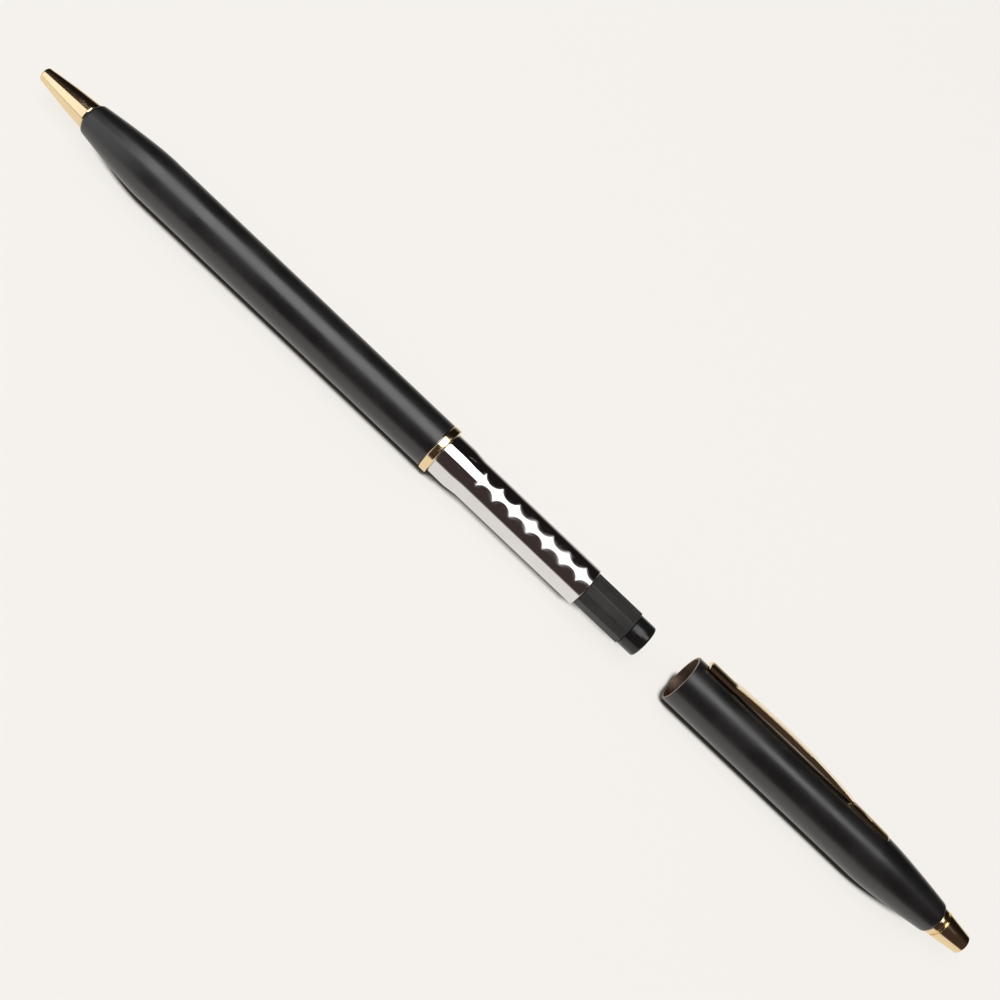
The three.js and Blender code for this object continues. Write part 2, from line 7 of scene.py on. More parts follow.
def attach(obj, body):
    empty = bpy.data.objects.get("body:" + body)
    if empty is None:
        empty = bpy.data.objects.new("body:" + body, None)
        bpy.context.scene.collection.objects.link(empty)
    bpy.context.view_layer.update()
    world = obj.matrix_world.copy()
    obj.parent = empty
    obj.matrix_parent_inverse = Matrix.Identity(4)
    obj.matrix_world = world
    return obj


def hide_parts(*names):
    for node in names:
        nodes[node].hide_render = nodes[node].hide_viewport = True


# Twist-action ballpoint pen, pulled apart, lying on a pale table.
# Sizes in the dictionaries are in millimetres, places along the pen are x.
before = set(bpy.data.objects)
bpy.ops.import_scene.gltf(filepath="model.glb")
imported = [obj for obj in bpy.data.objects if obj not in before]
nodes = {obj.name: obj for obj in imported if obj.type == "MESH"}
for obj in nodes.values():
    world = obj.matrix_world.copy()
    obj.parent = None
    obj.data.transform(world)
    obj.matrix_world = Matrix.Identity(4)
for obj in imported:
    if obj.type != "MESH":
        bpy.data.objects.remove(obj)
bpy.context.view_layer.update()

mm = 0.001
axisHeight = 4.01535  # the pen's axis above the table


def deselectAll():
    if bpy.context.mode != "OBJECT":
        bpy.ops.object.mode_set(mode="OBJECT")
    bpy.ops.object.select_all(action="DESELECT")


def pickOnly(piece):
    deselectAll()
    piece.select_set(True)
    bpy.context.view_layer.objects.active = piece


def bendPoints(start, control, end, steps):
    # points of a curve that leaves start towards control and arrives at end
    points = []
    for i in range(steps + 1):
        t = i / steps
        x = (1 - t) ** 2 * start[0] + 2 * t * (1 - t) * control[0] + t * t * end[0]
        r = (1 - t) ** 2 * start[1] + 2 * t * (1 - t) * control[1] + t * t * end[1]
        points.append((x, r))
    return points


def roundCorners(corners, arcSteps=6):
    # a third number on a corner is its rounding radius
    points = []
    for i, corner in enumerate(corners):
        spot = Vector(corner[:2])
        if len(corner) < 3:
            points.append(spot)
            continue
        before = (Vector(corners[i - 1][:2]) - spot).normalized()
        after = (Vector(corners[(i + 1) % len(corners)][:2]) - spot).normalized()
        half = before.angle(after) / 2
        middle = spot + (before + after).normalized() * corner[2] / math.sin(half)
        first = spot + before * corner[2] / math.tan(half) - middle
        last = spot + after * corner[2] / math.tan(half) - middle
        sweep = math.pi - 2 * half
        for step in range(arcSteps + 1):
            share = step / arcSteps
            out = first * math.sin((1 - share) * sweep) + last * math.sin(share * sweep)
            points.append(middle + out / math.sin(sweep))
    return points


def drawChain(name, spots):
    # one vertex, extruded from point to point
    deselectAll()
    bpy.ops.mesh.primitive_plane_add(size=mm, location=spots[0])
    piece = bpy.context.object
    piece.name = name
    piece.data.name = name
    bpy.ops.object.mode_set(mode="EDIT")
    bpy.ops.mesh.select_mode(type="VERT")
    bpy.ops.mesh.select_all(action="SELECT")
    bpy.ops.mesh.merge(type="CENTER")
    for here, there in zip(spots, spots[1:]):
        bpy.ops.mesh.extrude_region_move(TRANSFORM_OT_translate={"value": there - here})
    return piece


def turnPiece(name, corners, steps=128, phase=0.0, closed=True):
    # draws the outline above the axis, then spins it round the pen's axis
    flat = roundCorners(corners)
    if closed:
        flat = flat + [flat[0]]
    spots = []
    for x, r in flat:
        spots.append(Vector((x, r * math.sin(phase), axisHeight + r * math.cos(phase))) * mm)
    piece = drawChain(name, spots)
    bpy.ops.mesh.select_all(action="SELECT")
    bpy.ops.mesh.spin(
        steps=steps,
        angle=2 * math.pi,
        center=(0, 0, axisHeight * mm),
        axis=(1, 0, 0),
    )
    bpy.ops.mesh.select_all(action="SELECT")
    bpy.ops.mesh.remove_doubles(threshold=0.0015 * mm)
    bpy.ops.mesh.normals_make_consistent(inside=False)
    bpy.ops.object.mode_set(mode="OBJECT")
    return piece


def applyAll(piece):
    pickOnly(piece)
    bpy.ops.object.transform_apply(location=True, rotation=True, scale=True)


def smoothPiece(piece, degrees=32):
    applyAll(piece)
    bpy.ops.object.shade_smooth_by_angle(angle=math.radians(degrees), keep_sharp_edges=True)
    bpy.ops.object.modifier_add(type="WEIGHTED_NORMAL")
    piece.modifiers[-1].keep_sharp = True
    bpy.ops.object.modifier_apply(modifier=piece.modifiers[-1].name)


def cutWith(piece, tool, operation="DIFFERENCE"):
    pickOnly(piece)
    bpy.ops.object.modifier_add(type="BOOLEAN")
    cut = piece.modifiers[-1]
    cut.operation = operation
    cut.solver = "EXACT"
    cut.object = tool
    bpy.ops.object.modifier_apply(modifier=cut.name)
    pickOnly(tool)
    bpy.ops.object.delete()


def roundTool(radius, start, end, height):
    # a plain cylinder along the pen, to cut with
    deselectAll()
    bpy.ops.mesh.primitive_cylinder_add(
        vertices=160,
        radius=radius * mm,
        depth=(end - start) * mm,
        location=Vector(((start + end) / 2, 0, height)) * mm,
        rotation=(0, math.pi / 2, 0),
    )
    return bpy.context.object


def placePiece(piece, material, body, node):
    piece.data.materials.clear()
    piece.data.materials.append(material)
    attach(piece, body)
    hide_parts(node)


# Materials

def startMaterial(name, color, metallic, roughness):
    material = bpy.data.materials.new(name)
    material.use_nodes = True
    shader = material.node_tree.nodes["Principled BSDF"]
    shader.inputs["Base Color"].default_value = (*color, 1)
    shader.inputs["Metallic"].default_value = metallic
    shader.inputs["Roughness"].default_value = roughness
    return material, shader


def addNode(owner, kind, **values):
    # owner is a material or the world
    node = owner.node_tree.nodes.new(kind)
    for name, value in values.items():
        setattr(node, name, value)
    return node


def addNoise(material, scale, detail, stretch=(1, 1, 1)):
    # noise on Object coordinates, with scale as repeats per metre
    place = addNode(material, "ShaderNodeTexCoord")
    mapping = addNode(material, "ShaderNodeMapping")
    mapping.inputs["Scale"].default_value = stretch
    noise = addNode(material, "ShaderNodeTexNoise")
    noise.inputs["Scale"].default_value = scale
    noise.inputs["Detail"].default_value = detail
    link = material.node_tree.links.new
    link(place.outputs["Object"], mapping.inputs["Vector"])
    link(mapping.outputs["Vector"], noise.inputs["Vector"])
    return noise.outputs["Fac"]


noiseRange = (0.35, 0.65)  # nearly all of the noise lies between these


def varyRoughness(material, shader, source, low, high):
    spread = addNode(material, "ShaderNodeMapRange")
    spread.inputs["From Min"].default_value = noiseRange[0]
    spread.inputs["From Max"].default_value = noiseRange[1]
    spread.inputs["To Min"].default_value = low
    spread.inputs["To Max"].default_value = high
    link = material.node_tree.links.new
    link(source, spread.inputs["Value"])
    link(spread.outputs["Result"], shader.inputs["Roughness"])


def addRamp(owner, firstAt, first, secondAt, second):
    ramp = addNode(owner, "ShaderNodeValToRGB")
    ramp.color_ramp.elements[0].position = firstAt
    ramp.color_ramp.elements[0].color = (*first, 1)
    ramp.color_ramp.elements[1].position = secondAt
    ramp.color_ramp.elements[1].color = (*second, 1)
    return ramp


def varyColor(material, shader, source, first, second):
    ramp = addRamp(material, noiseRange[0], first, noiseRange[1], second)
    link = material.node_tree.links.new
    link(source, ramp.inputs["Fac"])
    link(ramp.outputs["Color"], shader.inputs["Base Color"])


def addBump(material, shader, source, strength, depth):
    bump = addNode(material, "ShaderNodeBump")
    bump.inputs["Strength"].default_value = strength
    bump.inputs["Distance"].default_value = depth * mm
    link = material.node_tree.links.new
    link(source, bump.inputs["Height"])
    link(bump.outputs["Normal"], shader.inputs["Normal"])


goldValues = {
    "color": (0.9, 0.72, 0.45),
    "deeper": (0.86, 0.66, 0.39),
    "roughness": (0.07, 0.15),
    "clouds": 260,  # repeats per metre, here and in the other finishes
    "tints": 90,
}


def goldPlateMaterial():
    v = goldValues
    material, shader = startMaterial("goldPlate", v["color"], 1, 0.1)
    cloudy = addNoise(material, v["clouds"], 3)
    varyRoughness(material, shader, cloudy, *v["roughness"])
    varyColor(material, shader, addNoise(material, v["tints"], 2), v["color"], v["deeper"])
    return material


lacquerValues = {
    "color": (0.008, 0.0077, 0.0077),
    "worn": (0.013, 0.0122, 0.012),
    "roughness": (0.28, 0.36),
    "gloss": 0.85,
    "clouds": 140,
    "grain": 3500,
    "grainStrength": 0.25,
    "grainDepth": 0.004,
}


def blackLacquerMaterial():
    v = lacquerValues
    material, shader = startMaterial("blackLacquer", v["color"], 0, 0.3)
    shader.inputs["Specular IOR Level"].default_value = v["gloss"]
    cloudy = addNoise(material, v["clouds"], 4)
    varyRoughness(material, shader, cloudy, *v["roughness"])
    varyColor(material, shader, cloudy, v["color"], v["worn"])
    grain = addNoise(material, v["grain"], 2)
    addBump(material, shader, grain, v["grainStrength"], v["grainDepth"])
    return material


chromeValues = {
    "color": (0.78, 0.765, 0.75),
    "deeper": (0.74, 0.725, 0.71),
    "roughness": (0.02, 0.045),
    "clouds": 200,
}


def chromePlateMaterial():
    v = chromeValues
    material, shader = startMaterial("chromePlate", v["color"], 1, 0.05)
    cloudy = addNoise(material, v["clouds"], 3)
    varyRoughness(material, shader, cloudy, *v["roughness"])
    varyColor(material, shader, cloudy, v["color"], v["deeper"])
    return material


plasticValues = {
    "clouds": 300,
    "grain": 5000,
    "grainStrength": 0.2,
    "grainDepth": 0.003,
    # two colours and the range of the roughness
    "matt": ((0.02, 0.019, 0.018), (0.03, 0.028, 0.026), (0.3, 0.4)),
    "gloss": ((0.008, 0.008, 0.008), (0.012, 0.011, 0.011), (0.12, 0.2)),
    "acetal": ((0.8, 0.78, 0.72), (0.84, 0.82, 0.77), (0.38, 0.5)),
    "rubber": ((0.02, 0.02, 0.02), (0.028, 0.027, 0.026), (0.75, 0.9)),
    "ink": ((0.01, 0.015, 0.13), (0.014, 0.02, 0.17), (0.15, 0.3)),
}


def plasticMaterial(name, kind):
    v = plasticValues
    first, second, roughness = v[kind]
    material, shader = startMaterial(name, first, 0, roughness[0])
    cloudy = addNoise(material, v["clouds"], 3)
    varyRoughness(material, shader, cloudy, *roughness)
    varyColor(material, shader, cloudy, first, second)
    grain = addNoise(material, v["grain"], 2)
    addBump(material, shader, grain, v["grainStrength"], v["grainDepth"])
    return material


bareMetalValues = {
    "rings": 400,
    "ringStretch": (25, 0.3, 0.3),  # squeezes the noise along the pen into fine rings
    "ringStrength": 0.3,
    "ringDepth": 0.004,
    "tints": 220,
    # two colours and the range of the roughness
    "brass": ((0.72, 0.52, 0.26), (0.62, 0.43, 0.2), (0.22, 0.38)),
    "darkBrass": ((0.34, 0.25, 0.19), (0.24, 0.17, 0.125), (0.4, 0.55)),
    "steel": ((0.62, 0.61, 0.6), (0.54, 0.53, 0.52), (0.2, 0.34)),
    "carbide": ((0.42, 0.43, 0.45), (0.36, 0.37, 0.39), (0.1, 0.2)),
}


def bareMetalMaterial(name, kind):
    # turned metal, with the fine rings that turning leaves
    v = bareMetalValues
    first, second, roughness = v[kind]
    material, shader = startMaterial(name, first, 1, roughness[0])
    rings = addNoise(material, v["rings"], 3, v["ringStretch"])
    varyRoughness(material, shader, rings, *roughness)
    varyColor(material, shader, addNoise(material, v["tints"], 3), first, second)
    addBump(material, shader, rings, v["ringStrength"], v["ringDepth"])
    return material


finishes = {
    "goldPlate": goldPlateMaterial(),
    "blackLacquer": blackLacquerMaterial(),
    "chromePlate": chromePlateMaterial(),
    "mattPlastic": plasticMaterial("mattPlastic", "matt"),
    "glossPlastic": plasticMaterial("glossPlastic", "gloss"),
    "whiteAcetal": plasticMaterial("whiteAcetal", "acetal"),
    "blackRubber": plasticMaterial("blackRubber", "rubber"),
    "blueInk": plasticMaterial("blueInk", "ink"),
    "bareBrass": bareMetalMaterial("bareBrass", "brass"),
    "darkBrass": bareMetalMaterial("darkBrass", "darkBrass"),
    "brightSteel": bareMetalMaterial("brightSteel", "steel"),
    "carbide": bareMetalMaterial("carbide", "carbide"),
}
print("materials ready:", len(finishes))

# Camera, table and light

cameraValues = {
    "location": (12.484, -96.337, 152.361),
    "forward": (-0.006219, 0.547535, -0.836760),
    "up": (-0.688833, 0.604239, 0.400504),
    "lens": 43.74,
    "sensor": 36,
    "clip": (0.01, 50),  # in metres
}


def makeCamera():
    v = cameraValues
    forward = Vector(v["forward"]).normalized()
    right = forward.cross(Vector(v["up"])).normalized()
    up = right.cross(forward)
    turn = Matrix((right, up, -forward)).transposed()
    deselectAll()
    bpy.ops.object.camera_add(location=Vector(v["location"]) * mm, rotation=turn.to_euler())
    camera = bpy.context.object
    camera.data.lens = v["lens"]
    camera.data.sensor_width = v["sensor"]
    camera.data.clip_start = v["clip"][0]
    camera.data.clip_end = v["clip"][1]
    bpy.context.scene.camera = camera


tableValues = {
    "size": 6000,
    "height": -0.04,  # just below the round rings, which are the lowest pieces
    "color": (0.925, 0.9, 0.86),
    "deeper": (0.91, 0.885, 0.845),
    "roughness": (0.45, 0.6),
    "clouds": 8,
    "shown": 0.88,  # share of the plain pale tone that camera and reflections see
    "fade": (18, 30),  # where the reflected table falls into the dark, behind the pen
    "faded": 0.12,
}

# shade painted into the table's glow: the dark line under the pen and the softer shade around it,
# how far each reaches, and the shares of open sky at which it is dark and clear
contactShade = {
    "reach": 1.12,
    "samples": 16,
    "darkAt": 0.7,
    "dark": (0.05, 0.04, 0.033),
    "clearAt": 0.9,
    "clear": tableValues["color"],
}
softShade = {
    "reach": 2.2,
    "samples": 24,
    "darkAt": 0.38,
    "dark": (0.12, 0.1, 0.085),
    "clearAt": 0.54,
    "clear": (1, 1, 1),
}


def shadeNear(material, shade):
    # painted shade: the tone of the table by how closely something stands over it
    near = addNode(material, "ShaderNodeAmbientOcclusion", samples=shade["samples"])
    near.inputs["Distance"].default_value = shade["reach"] * mm
    ramp = addRamp(material, shade["darkAt"], shade["dark"], shade["clearAt"], shade["clear"])
    material.node_tree.links.new(near.outputs["AO"], ramp.inputs["Fac"])
    return ramp.outputs["Color"]


def makeTable():
    v = tableValues
    deselectAll()
    bpy.ops.mesh.primitive_plane_add(size=v["size"] * mm, location=(0, 0, v["height"] * mm))
    table = bpy.context.object
    table.name = "table"
    applyAll(table)
    material, shader = startMaterial("tableTop", v["color"], 0, 0.5)
    cloudy = addNoise(material, v["clouds"], 3)
    varyRoughness(material, shader, cloudy, *v["roughness"])
    varyColor(material, shader, cloudy, v["color"], v["deeper"])
    # seen directly or in the metal, the table is a pale glow with shade painted into it, dark only close
    # under the pen
    link = material.node_tree.links.new
    tone = addNode(material, "ShaderNodeMix", data_type="RGBA", blend_type="MULTIPLY")
    tone.inputs["Factor"].default_value = 1
    link(shadeNear(material, contactShade), tone.inputs[6])
    link(shadeNear(material, softShade), tone.inputs[7])
    glow = addNode(material, "ShaderNodeEmission")
    path = addNode(material, "ShaderNodeLightPath")
    seen = addNode(material, "ShaderNodeMath", operation="MAXIMUM")
    seenAny = addNode(material, "ShaderNodeMath", operation="MAXIMUM")
    share = addNode(material, "ShaderNodeMath", operation="MULTIPLY")
    share.inputs[1].default_value = v["shown"]
    mix = addNode(material, "ShaderNodeMixShader")
    link(tone.outputs[2], glow.inputs["Color"])
    # reflections lose the far side of the table in the dark room
    place = addNode(material, "ShaderNodeTexCoord")
    parts = addNode(material, "ShaderNodeSeparateXYZ")
    fade = addNode(material, "ShaderNodeMapRange")
    fade.inputs["From Min"].default_value = v["fade"][0] * mm
    fade.inputs["From Max"].default_value = v["fade"][1] * mm
    fade.inputs["To Min"].default_value = 1
    fade.inputs["To Max"].default_value = v["faded"]
    plain = addNode(material, "ShaderNodeMath", operation="MAXIMUM")
    link(place.outputs["Object"], parts.inputs["Vector"])
    link(parts.outputs["Y"], fade.inputs["Value"])
    link(fade.outputs["Result"], plain.inputs[0])
    link(path.outputs["Is Camera Ray"], plain.inputs[1])
    link(plain.outputs[0], glow.inputs["Strength"])
    link(path.outputs["Is Camera Ray"], seen.inputs[0])
    link(path.outputs["Is Glossy Ray"], seen.inputs[1])
    link(seen.outputs[0], seenAny.inputs[0])
    link(path.outputs["Is Transmission Ray"], seenAny.inputs[1])
    link(seenAny.outputs[0], share.inputs[0])
    link(share.outputs[0], mix.inputs[0])
    link(shader.outputs["BSDF"], mix.inputs[1])
    link(glow.outputs["Emission"], mix.inputs[2])
    link(mix.outputs[0], material.node_tree.nodes["Material Output"].inputs["Surface"])
    table.data.materials.append(material)


lampValues = {
    "distance": 500,
    "along": (-370, 530),
    "spread": (-62, 62),  # the arc that the lamp fills, in degrees about the pen's axis
    "steps": 31,
    "strip": 10,  # half of its bright strip, in degrees
    "points": 43,  # how far the star points stand out from the strip, in degrees
    "cell": 12.7,  # length of one cell of the louvre
    "firstPoint": -7.1,
    "plain": 12,  # what replaces the points before and after the cells, in degrees
    "lastPoint": 80,
    "narrowFrom": 140,  # from here on only the strip is lit
    "radiance": 2.6,
    "dimFrom": 340,  # its far end is dim
    "dimmed": 0.04,
    "lit": (1, 0.985, 0.99),
}

windowValues = {
    "along": (-720, -375),
    "spread": (-86, -14),
    "steps": 8,
    "radiance": 1.2,
    "color": (1, 1, 1.04),
}


def drawArch(name, along, spread, steps):
    # a curved panel, at the same distance from the pen all over
    out = lampValues["distance"]
    spots = []
    for i in range(steps + 1):
        angle = math.radians(spread[0] + (spread[1] - spread[0]) * i / steps)
        spots.append(Vector((along[0], out * math.sin(angle), axisHeight + out * math.cos(angle))) * mm)
    panel = drawChain(name, spots)
    bpy.ops.mesh.select_all(action="SELECT")
    bpy.ops.mesh.extrude_region_move(TRANSFORM_OT_translate={"value": ((along[1] - along[0]) * mm, 0, 0)})
    bpy.ops.object.mode_set(mode="OBJECT")
    applyAll(panel)
    panel.visible_camera = False
    return panel


def makeWindow():
    # a smaller bright panel past the writing end, which the nose cone shows
    v = windowValues
    panel = drawArch("sideWindow", v["along"], v["spread"], v["steps"])
    material = bpy.data.materials.new("windowPane")
    material.use_nodes = True
    glow = addNode(material, "ShaderNodeEmission")
    glow.inputs["Color"].default_value = (*v["color"], 1)
    glow.inputs["Strength"].default_value = v["radiance"]
    output = material.node_tree.nodes["Material Output"]
    material.node_tree.links.new(glow.outputs["Emission"], output.inputs["Surface"])
    panel.data.materials.append(material)


def makeLamp():
    # a long arched lamp over the pen, with star-shaped cells along its bright strip
    v = lampValues
    lamp = drawArch("ceilingLamp", v["along"], v["spread"], v["steps"])
    material = bpy.data.materials.new("lampPanel")
    material.use_nodes = True
    link = material.node_tree.links.new

    def calculate(operation, first, second=None):
        node = addNode(material, "ShaderNodeMath", operation=operation)
        for socket, value in zip(node.inputs, (first, second)):
            if isinstance(value, (int, float)):
                socket.default_value = value
            elif value is not None:
                link(value, socket)
        return node.outputs[0]

    place = addNode(material, "ShaderNodeTexCoord")
    parts = addNode(material, "ShaderNodeSeparateXYZ")
    link(place.outputs["Object"], parts.inputs["Vector"])
    # 1 at a star point and 0 in the middle between two of them
    cells = calculate("SUBTRACT", parts.outputs["X"], v["firstPoint"] * mm)
    share = calculate("FRACT", calculate("DIVIDE", cells, v["cell"] * mm))
    offset = calculate("MULTIPLY", calculate("SUBTRACT", share, 0.5), 2)
    rest = calculate("SUBTRACT", 1, calculate("MULTIPLY", offset, offset))
    rise = calculate("SUBTRACT", 1, calculate("SQRT", rest))
    after = calculate("GREATER_THAN", cells, 0)
    before = calculate("LESS_THAN", parts.outputs["X"], v["lastPoint"] * mm)
    starry = calculate("MULTIPLY", after, before)
    wide = calculate("LESS_THAN", parts.outputs["X"], v["narrowFrom"] * mm)
    points = calculate("MULTIPLY", calculate("MULTIPLY", rise, starry), math.radians(v["points"]))
    plain = calculate("MULTIPLY", calculate("SUBTRACT", wide, starry), math.radians(v["plain"]))
    edge = calculate("ADD", calculate("ADD", points, plain), math.radians(v["strip"]))
    angle = calculate("ABSOLUTE", calculate("ARCTAN2", parts.outputs["Y"], parts.outputs["Z"]))
    lit = calculate("LESS_THAN", angle, edge)
    far = calculate("GREATER_THAN", parts.outputs["X"], v["dimFrom"] * mm)
    loss = calculate("MULTIPLY", far, v["radiance"] * (1 - v["dimmed"]))
    glow = addNode(material, "ShaderNodeEmission")
    glow.inputs["Color"].default_value = (*v["lit"], 1)
    link(calculate("SUBTRACT", v["radiance"], loss), glow.inputs["Strength"])
    clear = addNode(material, "ShaderNodeBsdfTransparent")
    mix = addNode(material, "ShaderNodeMixShader")
    link(lit, mix.inputs[0])
    link(clear.outputs["BSDF"], mix.inputs[1])
    link(glow.outputs["Emission"], mix.inputs[2])
    link(mix.outputs[0], material.node_tree.nodes["Material Output"].inputs["Surface"])
    lamp.data.materials.append(material)


worldValues = {
    "near": (0.052, 0.038, 0.035),  # the dark room on the camera's side
    "far": (0.012, 0.009, 0.009),  # and behind the pen
    "horizon": (0.3, 0.28, 0.27),
    "horizonTop": 0.14,  # how high its glow reaches, where 1 is straight up
    "toCamera": (0.93, 0.92, 0.9),
    "soft": (0.42, 0.415, 0.41),  # what matt surfaces get from the pale room
}


def makeWorld():
    v = worldValues
    world = bpy.data.worlds.new("room")
    bpy.context.scene.world = world
    world.use_nodes = True
    link = world.node_tree.links.new
    background = world.node_tree.nodes["Background"]
    place = addNode(world, "ShaderNodeTexCoord")
    parts = addNode(world, "ShaderNodeSeparateXYZ")
    across = addRamp(world, 0, v["near"], 0.5, v["far"])
    rise = addNode(world, "ShaderNodeMapRange")
    rise.inputs["From Max"].default_value = v["horizonTop"]
    room = addNode(world, "ShaderNodeMix", data_type="RGBA")
    room.inputs[6].default_value = (*v["horizon"], 1)
    path = addNode(world, "ShaderNodeLightPath")
    link(place.outputs["Generated"], parts.inputs["Vector"])
    link(parts.outputs["Y"], across.inputs["Fac"])
    # the horizon glows on the camera's side only
    behind = addNode(world, "ShaderNodeMath", operation="MAXIMUM")
    link(parts.outputs["Z"], behind.inputs[0])
    link(parts.outputs["Y"], behind.inputs[1])
    link(behind.outputs[0], rise.inputs["Value"])
    link(rise.outputs["Result"], room.inputs["Factor"])
    link(across.outputs["Color"], room.inputs[7])
    tone = room.outputs[2]
    for ray, value in (("Is Diffuse Ray", "soft"), ("Is Camera Ray", "toCamera")):
        mix = addNode(world, "ShaderNodeMix", data_type="RGBA")
        link(path.outputs[ray], mix.inputs["Factor"])
        link(tone, mix.inputs[6])
        mix.inputs[7].default_value = (*v[value], 1)
        tone = mix.outputs[2]
    link(tone, background.inputs["Color"])


makeCamera()
makeTable()
makeLamp()
makeWindow()
makeWorld()
bpy.context.scene.view_settings.view_transform = "Standard"
print("camera, table and light ready")

# Lower half

noseValues = {
    "tip": -79.55,
    "base": -70.05,
    "tipRadius": 1.15,
    "baseRadius": 2.27,
    "bulge": 0.2,
    "frontEdge": 0.22,
    "bore": 0.75,
    "mouthEdge": ((0.1, 0), (0.03, 0.02), (0, 0.1)),  # steps of the bore's rounded front
    "boreStep": -75.15,
    "neckBore": 1.31,
    "wideFront": -70.35,
    "wideBore": 1.62,
    "spigot": 2.0,
    "spigotRear": -64.05,
    "baseEdge": 0.26,
    "spigotEdge": 0.1,
}


def makeNoseCone():
    v = noseValues
    middle = (
        (v["tip"] + v["base"]) / 2,
        (v["tipRadius"] + v["baseRadius"]) / 2 + v["bulge"],
    )
    side = bendPoints((v["tip"] + v["frontEdge"], v["tipRadius"]), middle, (v["base"], v["baseRadius"]), 28)
    front = roundCorners(
        [(v["tip"], v["bore"]), (v["tip"], v["tipRadius"], v["frontEdge"]), side[1]],
    )
    outline = [
        *[(v["tip"] + back, v["bore"] + out) for back, out in v["mouthEdge"]],
        *[tuple(spot) for spot in front[1:-1]],
        *side[2:-1],
        (v["base"], v["baseRadius"], v["baseEdge"]),
        (v["base"], v["spigot"]),
        (v["spigotRear"], v["spigot"], v["spigotEdge"]),
        (v["spigotRear"], v["wideBore"]),
        (v["wideFront"], v["wideBore"]),
        (v["wideFront"], v["neckBore"]),
        (v["boreStep"], v["neckBore"]),
        (v["boreStep"], v["bore"]),
    ]
    piece = turnPiece("noseCone", outline)
    smoothPiece(piece)
    placePiece(piece, finishes["goldPlate"], "barrel", "nose_cone")


barrelValues = {
    "front": -69.95,
    "rear": -0.75,
    "radius": 3.9,
    "bore": 3.4,
    "frontRadius": 2.66,
    "frontEdge": 0.5,
    "edgeFoot": 0.6,  # how far in the rounded front edge starts, as a share of frontEdge
    "edgeBend": 0.1,
    "rearEdge": 0.06,
    "taper": 13,
    "bend": 0.29,  # where the taper turns, as a share of it from its rear end
    "seat": 2.08,
    "seatRear": -63.65,
    "boreStart": 2,  # how far behind the taper the bore has its full width
}


def makeLowerBarrel():
    v = barrelValues
    taperStart = v["front"] + v["frontEdge"]
    taperEnd = v["front"] + v["taper"]
    bend = taperEnd - v["bend"] * v["taper"]
    edge = bendPoints(
        (v["front"], v["frontRadius"] - v["edgeFoot"] * v["frontEdge"]),
        (v["front"], v["frontRadius"] - v["edgeBend"] * v["frontEdge"]),
        (taperStart, v["frontRadius"]),
        10,
    )
    taper = bendPoints((taperStart, v["frontRadius"]), (bend, v["radius"]), (taperEnd, v["radius"]), 48)
    outline = [
        (v["front"], v["seat"]),
        *edge,
        *taper[1:],
        (v["rear"], v["radius"], v["rearEdge"]),
        (v["rear"], v["bore"]),
        (taperEnd + v["boreStart"], v["bore"]),
        (v["seatRear"], v["seat"]),
    ]
    piece = turnPiece("lowerBarrel", outline, 160)
    smoothPiece(piece)
    placePiece(piece, finishes["blackLacquer"], "barrel", "lower_barrel")


ringValues = {"front": -0.65, "rear": 0.65, "radius": 4.05, "inner": 3.38, "edge": 0.2}


def makeTrimRing():
    v = ringValues
    outline = [
        (v["front"], v["inner"]),
        (v["front"], v["radius"], v["edge"]),
        (v["rear"], v["radius"], v["edge"]),
        (v["rear"], v["inner"]),
    ]
    piece = turnPiece("trimRing", outline, 160)
    smoothPiece(piece)
    placePiece(piece, finishes["goldPlate"], "barrel", "trim_ring")


sleeveValues = {
    "front": -10.15,
    "rear": 29.15,
    "radius": 3.3,
    "bore": 2.95,
    "shoulderFront": 0.75,
    "shoulderRear": 5.05,
    "shoulderRadius": 3.55,
    "shoulderEdge": 0.1,
    "slope": 1.05,  # half the length over which the shoulder falls to the tube
    "slopeEdge": 0.08,
    "rearEdge": 0.12,
}


def makeMechanismSleeve():
    v = sleeveValues
    outline = [
        (v["front"], v["bore"]),
        (v["front"], v["radius"]),
        (v["shoulderFront"], v["radius"]),
        (v["shoulderFront"], v["shoulderRadius"], v["shoulderEdge"]),
        (v["shoulderRear"] - v["slope"], v["shoulderRadius"], v["slopeEdge"]),
        (v["shoulderRear"] + v["slope"], v["radius"], v["slopeEdge"]),
        (v["rear"], v["radius"], v["rearEdge"]),
        (v["rear"], v["bore"]),
    ]
    piece = turnPiece("mechanismSleeve", outline, 160)
    smoothPiece(piece)
    placePiece(piece, finishes["chromePlate"], "barrel", "mechanism_sleeve")


collarValues = {
    "front": 29.25,
    "rear": 37.75,
    "cornerRadius": 2.95,
    "bore": 2.48,
    "flats": 12,
    "cornerBand": 0.1,  # only edges that lie this close to the corners are rounded
    "cornerRounding": 0.07,
    "roundingSteps": 4,
}


def makeTwistCollar():
    v = collarValues
    outline = [
        (v["front"], 0),
        (v["front"], v["cornerRadius"]),
        (v["rear"], v["cornerRadius"]),
        (v["rear"], 0),
    ]
    piece = turnPiece("twistCollar", outline, v["flats"], math.pi / v["flats"], closed=False)
    applyAll(piece)
    bpy.ops.object.mode_set(mode="EDIT")
    bpy.ops.mesh.select_mode(type="EDGE")
    bpy.ops.mesh.select_all(action="DESELECT")
    bpy.ops.object.mode_set(mode="OBJECT")
    outerLimit = (v["cornerRadius"] - v["cornerBand"]) * mm
    for edge in piece.data.edges:
        first, second = [piece.data.vertices[i].co for i in edge.vertices]
        reach = min(math.hypot(spot.y, spot.z - axisHeight * mm) for spot in (first, second))
        edge.select = reach > outerLimit
    bpy.ops.object.mode_set(mode="EDIT")
    bpy.ops.mesh.bevel(offset=v["cornerRounding"] * mm, segments=v["roundingSteps"], affect="EDGES")
    bpy.ops.object.mode_set(mode="OBJECT")
    cutWith(piece, roundTool(v["bore"], v["front"] - 1, v["rear"] + 1, axisHeight))
    smoothPiece(piece, 25)
    placePiece(piece, finishes["mattPlastic"], "rotor", "twist_collar")


